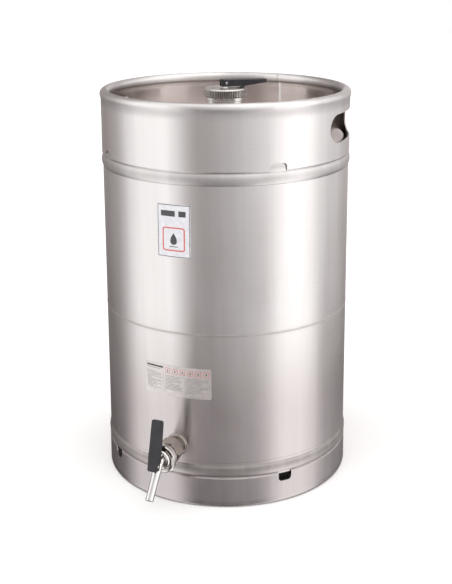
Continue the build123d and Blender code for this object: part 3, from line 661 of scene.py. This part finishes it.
def seam(path, azimuth, width, crown):
    """Returns a maker for a flat weld seam that follows a (radius, height) path at an azimuth."""

    def make(bm):
        rows = []
        for i, (radius, height) in enumerate(path):
            before, after = path[max(i - 1, 0)], path[min(i + 1, len(path) - 1)]
            run = Vector((after[0] - before[0], after[1] - before[1])).normalized()
            half = width * (0.94 + 0.06 * math.sin(1.7 * i)) / 2
            row = []
            for side in spread(-1, 1, 6):
                lift = crown * (1 - side * side) * ripple(i, 3, 0.5) - SEAM_SUNK
                out = radius + run.y * lift
                a = math.radians(azimuth) + side * half / out
                row.append(Vector((out * math.sin(a), -out * math.cos(a), height - run.x * lift)))
            rows.append(row)
        rows_of_quads(bm, rows)

    return make


top_path = line((TOP_WALL_OUT, 505.5 * MM), (TOP_WALL_OUT, UNDER_RIM[1]))
top_path += arc(UNDER_RIM, UNDER_RIM_R, 180, 158.4, 8)
top_path += arc(RIM, RIM_R, -21.5, 232)
inner_path = line((TOP_WALL_IN, 585.5 * MM), (TOP_WALL_IN, 507.5 * MM))
low_path = line((LOW_WALL_OUT, 5.0 * MM), (LOW_WALL_OUT, 44.8 * MM))
outer_seam = seam(top_path, SEAM_AZ, width=4.0 * MM, crown=0.22 * MM)
piece("top_chime_seam_outer", outer_seam, [weld_steel])
inner_seam = seam(inner_path, SEAM_AZ, width=6.2 * MM, crown=0.26 * MM)
piece("top_chime_seam_inner", inner_seam, [ground_steel])
low_seam = seam(low_path, SEAM_AZ, width=3.6 * MM, crown=0.18 * MM)
piece("bottom_chime_seam", low_seam, [weld_steel])


COIL_STEPS, WIRE_SIDES = 36, 12      # points round a turn, and round the wire


def spring(name, node, body, along, wire_r, turns):
    """Winds a spring in a CAD spring's place and lets it ride on a body."""
    low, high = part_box(node)
    middle, length = (low + high) / 2, abs((high - low).dot(along))
    turned = along.to_track_quat("Z", "X").to_matrix()
    radius = (high.x - low.x) / 2 - wire_r
    rise = length - 2 * wire_r
    slope = rise / turns / (2 * math.pi * radius)
    steps = COIL_STEPS * turns

    def make(bm):
        rows = []
        for i in range(steps + 1):
            a = 2 * math.pi * i / COIL_STEPS
            out = Vector((math.cos(a), math.sin(a), 0))
            side = Vector((-math.sin(a), math.cos(a), slope)).normalized().cross(out)
            centre = out * radius + Vector((0, 0, rise * (i / steps - 0.5)))
            row = []
            for j in range(WIRE_SIDES):
                t = 2 * math.pi * j / WIRE_SIDES
                skin = centre + wire_r * (math.cos(t) * out + math.sin(t) * side)
                row.append(middle + turned @ skin)
            rows.append(row)
        rows_of_quads(bm, rows, closed_across=True, capped=True)

    made = piece(name, make, [wire], body)
    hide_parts(node)
    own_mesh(made)


spring(
    "vent_spring_coil", "vent_spring", "closure",
    along=Vector((0, 0, 1)), wire_r=0.75 * MM, turns=6,
)
spring(
    "tap_spring_coil", "tap_spring", "keg",
    along=Vector((0, -1, 0)), wire_r=0.6 * MM, turns=3,
)


# ---- label print, in millimetres across (u) and up (v) from a label's middle --------------------
Shape = namedtuple("Shape", "ink outline hole", defaults=(None,))
STRIP = 0.003               # print is cut into upright strips this wide, to bend with the shell
PRINT_LIFT = 0.04 * MM      # how far print stands off its label
BORDER_INSET = 0.6


def box_shape(left, low, wide, tall):
    """A rectangle's corners, from its lower left."""
    return [(left, low), (left + wide, low), (left + wide, low + tall), (left, low + tall)]


def rounded(middle_u, middle_v, half, corner, turns=6):
    """A rounded square as a loop of points."""
    points = []
    for k, (sign_u, sign_v) in enumerate(((1, 1), (-1, 1), (-1, -1), (1, -1))):
        centre = (middle_u + sign_u * (half - corner), middle_v + sign_v * (half - corner))
        points += arc(centre, corner, 90 * k, 90 * (k + 1), turns)
    return points


def rounded_frame(middle_u, middle_v, half, corner, inner_half, inner_corner, turns=6):
    """A rounded square frame in red, from its outer and inner sizes."""
    outline = rounded(middle_u, middle_v, half, corner, turns)
    return Shape(red_ink, outline, rounded(middle_u, middle_v, inner_half, inner_corner, turns))


def drop(middle_u, low_v, radius, tall, turns=28):
    """A plain drop: a round foot drawn up to a point."""
    points = []
    for i in range(turns):
        a = math.radians(-90 + 360 * i / turns)
        u, v = radius * math.cos(a), radius * math.sin(a)
        if v > 0:
            u *= 1 - 0.75 * (v / radius) ** 2
            v *= (tall - radius) / radius
        points.append((middle_u + u, low_v + radius + v))
    return points


def printed(name, node, shapes):
    """Lays flat shapes on a label's outer face and bends them to it."""
    low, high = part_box(node)
    middle_z = (low.z + high.z) / 2
    surface = -low.y + PRINT_LIFT
    inks = list(dict.fromkeys(shape.ink for shape in shapes))

    def make(bm):
        for shape in shapes:
            outer = [bm.verts.new((u * MM, v * MM, 0)) for u, v in shape.outline]
            if shape.hole:
                inner = [bm.verts.new((u * MM, v * MM, 0)) for u, v in shape.hole]
                corners = zip(outer, outer[1:] + outer[:1], inner[1:] + inner[:1], inner)
                faces = [bm.faces.new(quad) for quad in corners]
            else:
                faces = [bm.faces.new(outer)]
            for face in faces:
                face.material_index = inks.index(shape.ink)
        half = max(abs(v.co.x) for v in bm.verts)
        at = -half
        while at < half:
            everything = bm.verts[:] + bm.edges[:] + bm.faces[:]
            bmesh.ops.bisect_plane(bm, geom=everything, plane_co=(at, 0, 0), plane_no=(1, 0, 0))
            at += STRIP
        bmesh.ops.triangulate(bm, faces=bm.faces[:])
        for v in bm.verts:
            a = v.co.x / surface
            v.co = Vector((surface * math.sin(a), -surface * math.cos(a), middle_z + v.co.y))

    piece(name, make, inks)


def border(half_u, half_v, wide):
    """Four strips round a label's edge."""
    tall = 2 * half_v - 2 * wide
    sides = [
        box_shape(-half_u, half_v - wide, 2 * half_u, wide),
        box_shape(-half_u, -half_v, 2 * half_u, wide),
        box_shape(-half_u, -half_v + wide, wide, tall),
        box_shape(half_u - wide, -half_v + wide, wide, tall),
    ]
    return [Shape(dark_ink, side) for side in sides]


def size_print():
    """A border, and in it two plain blocks over a framed drop with a line under it."""
    low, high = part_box("size_label")
    half_u = (high.x - low.x) / 2 / MM - BORDER_INSET
    half_v = (high.z - low.z) / 2 / MM - BORDER_INSET
    return border(half_u, half_v, 0.9) + [
        Shape(dark_ink, box_shape(-19.5, 21.0, 22.0, 8.2)),
        Shape(dark_ink, box_shape(8.0, 21.0, 11.0, 8.2)),
        rounded_frame(0, -12, 17.5, 4.0, 15.4, 2.6),
        Shape(dark_ink, drop(0, -20.0, 5.2, 17.0)),
        Shape(dark_ink, box_shape(-6.5, -23.4, 13.0, 1.1)),
    ]


FRAME_COUNT, FRAME_PITCH, FRAME_V = 6, 12.0, 15.0
COLUMNS = ((-50.0, 27.0, 9.5, 13), (-18.0, 31.0, 6.5, 11), (17.0, 32.0, 6.5, 12))
LINE_PITCH, LINE_TALL = 2.05, 0.62


def small_lines():
    """Strokes of uneven length. COLUMNS are (left, width, top, number of strokes)."""
    shapes = []
    for column, (left, wide, top, count) in enumerate(COLUMNS):
        for k in range(count):
            length = wide * (0.66 + 0.34 * ((7 * k + 3 * column + k * k) % 5) / 4)
            if k % 6 == 5:
                length *= 0.45
            stroke = box_shape(left, top - LINE_PITCH * k, length, LINE_TALL)
            shapes.append(Shape(grey_ink, stroke))
    return shapes


def data_print():
    """A heading, a row of small framed drops, and columns of strokes with lines between them."""
    shapes = [
        Shape(dark_ink, box_shape(-50.0, 17.5, 29.0, 2.6)),
        Shape(grey_ink, box_shape(-50.0, 15.0, 24.0, 0.7)),
    ]
    for k in range(FRAME_COUNT):
        u = -13.5 + FRAME_PITCH * k
        shapes.append(rounded_frame(u, FRAME_V, 4.0, 1.2, 3.3, 0.8, 4))
        shapes.append(Shape(dark_ink, drop(u, 13.3, 1.0, 3.4, 12)))
    shapes += small_lines()
    shapes.append(Shape(grey_ink, box_shape(-20.4, -19.5, 0.3, 30.0)))
    shapes.append(Shape(grey_ink, box_shape(14.8, -19.5, 0.3, 27.0)))
    return shapes


printed("size_label_print", "size_label", size_print())
printed("data_label_print", "data_label", data_print())


# ---- floor --------------------------------------------------------------------------------------
def floor_paper():
    """Pale matt paper, very faintly mottled."""
    paper = Material("floor_paper")
    tone = paper.noise(3.0, detail=4)
    colour = paper.mix(paper.between(tone, 0.3, 0.7), (0.80, 0.80, 0.795), (0.84, 0.84, 0.835))
    roughness = paper.between(tone, 0.3, 0.7, 0.55, 0.65)
    return paper.finish(colour, roughness)


floor_mesh = bpy.data.meshes.new("floor")
grid = bmesh.new()
bmesh.ops.create_grid(grid, x_segments=8, y_segments=8, size=8.0)
grid.to_mesh(floor_mesh)
grid.free()
floor_mesh.materials.append(floor_paper())
floor = placed("floor", floor_mesh)
floor.location.z = -0.4 * MM
floor.visible_glossy = False
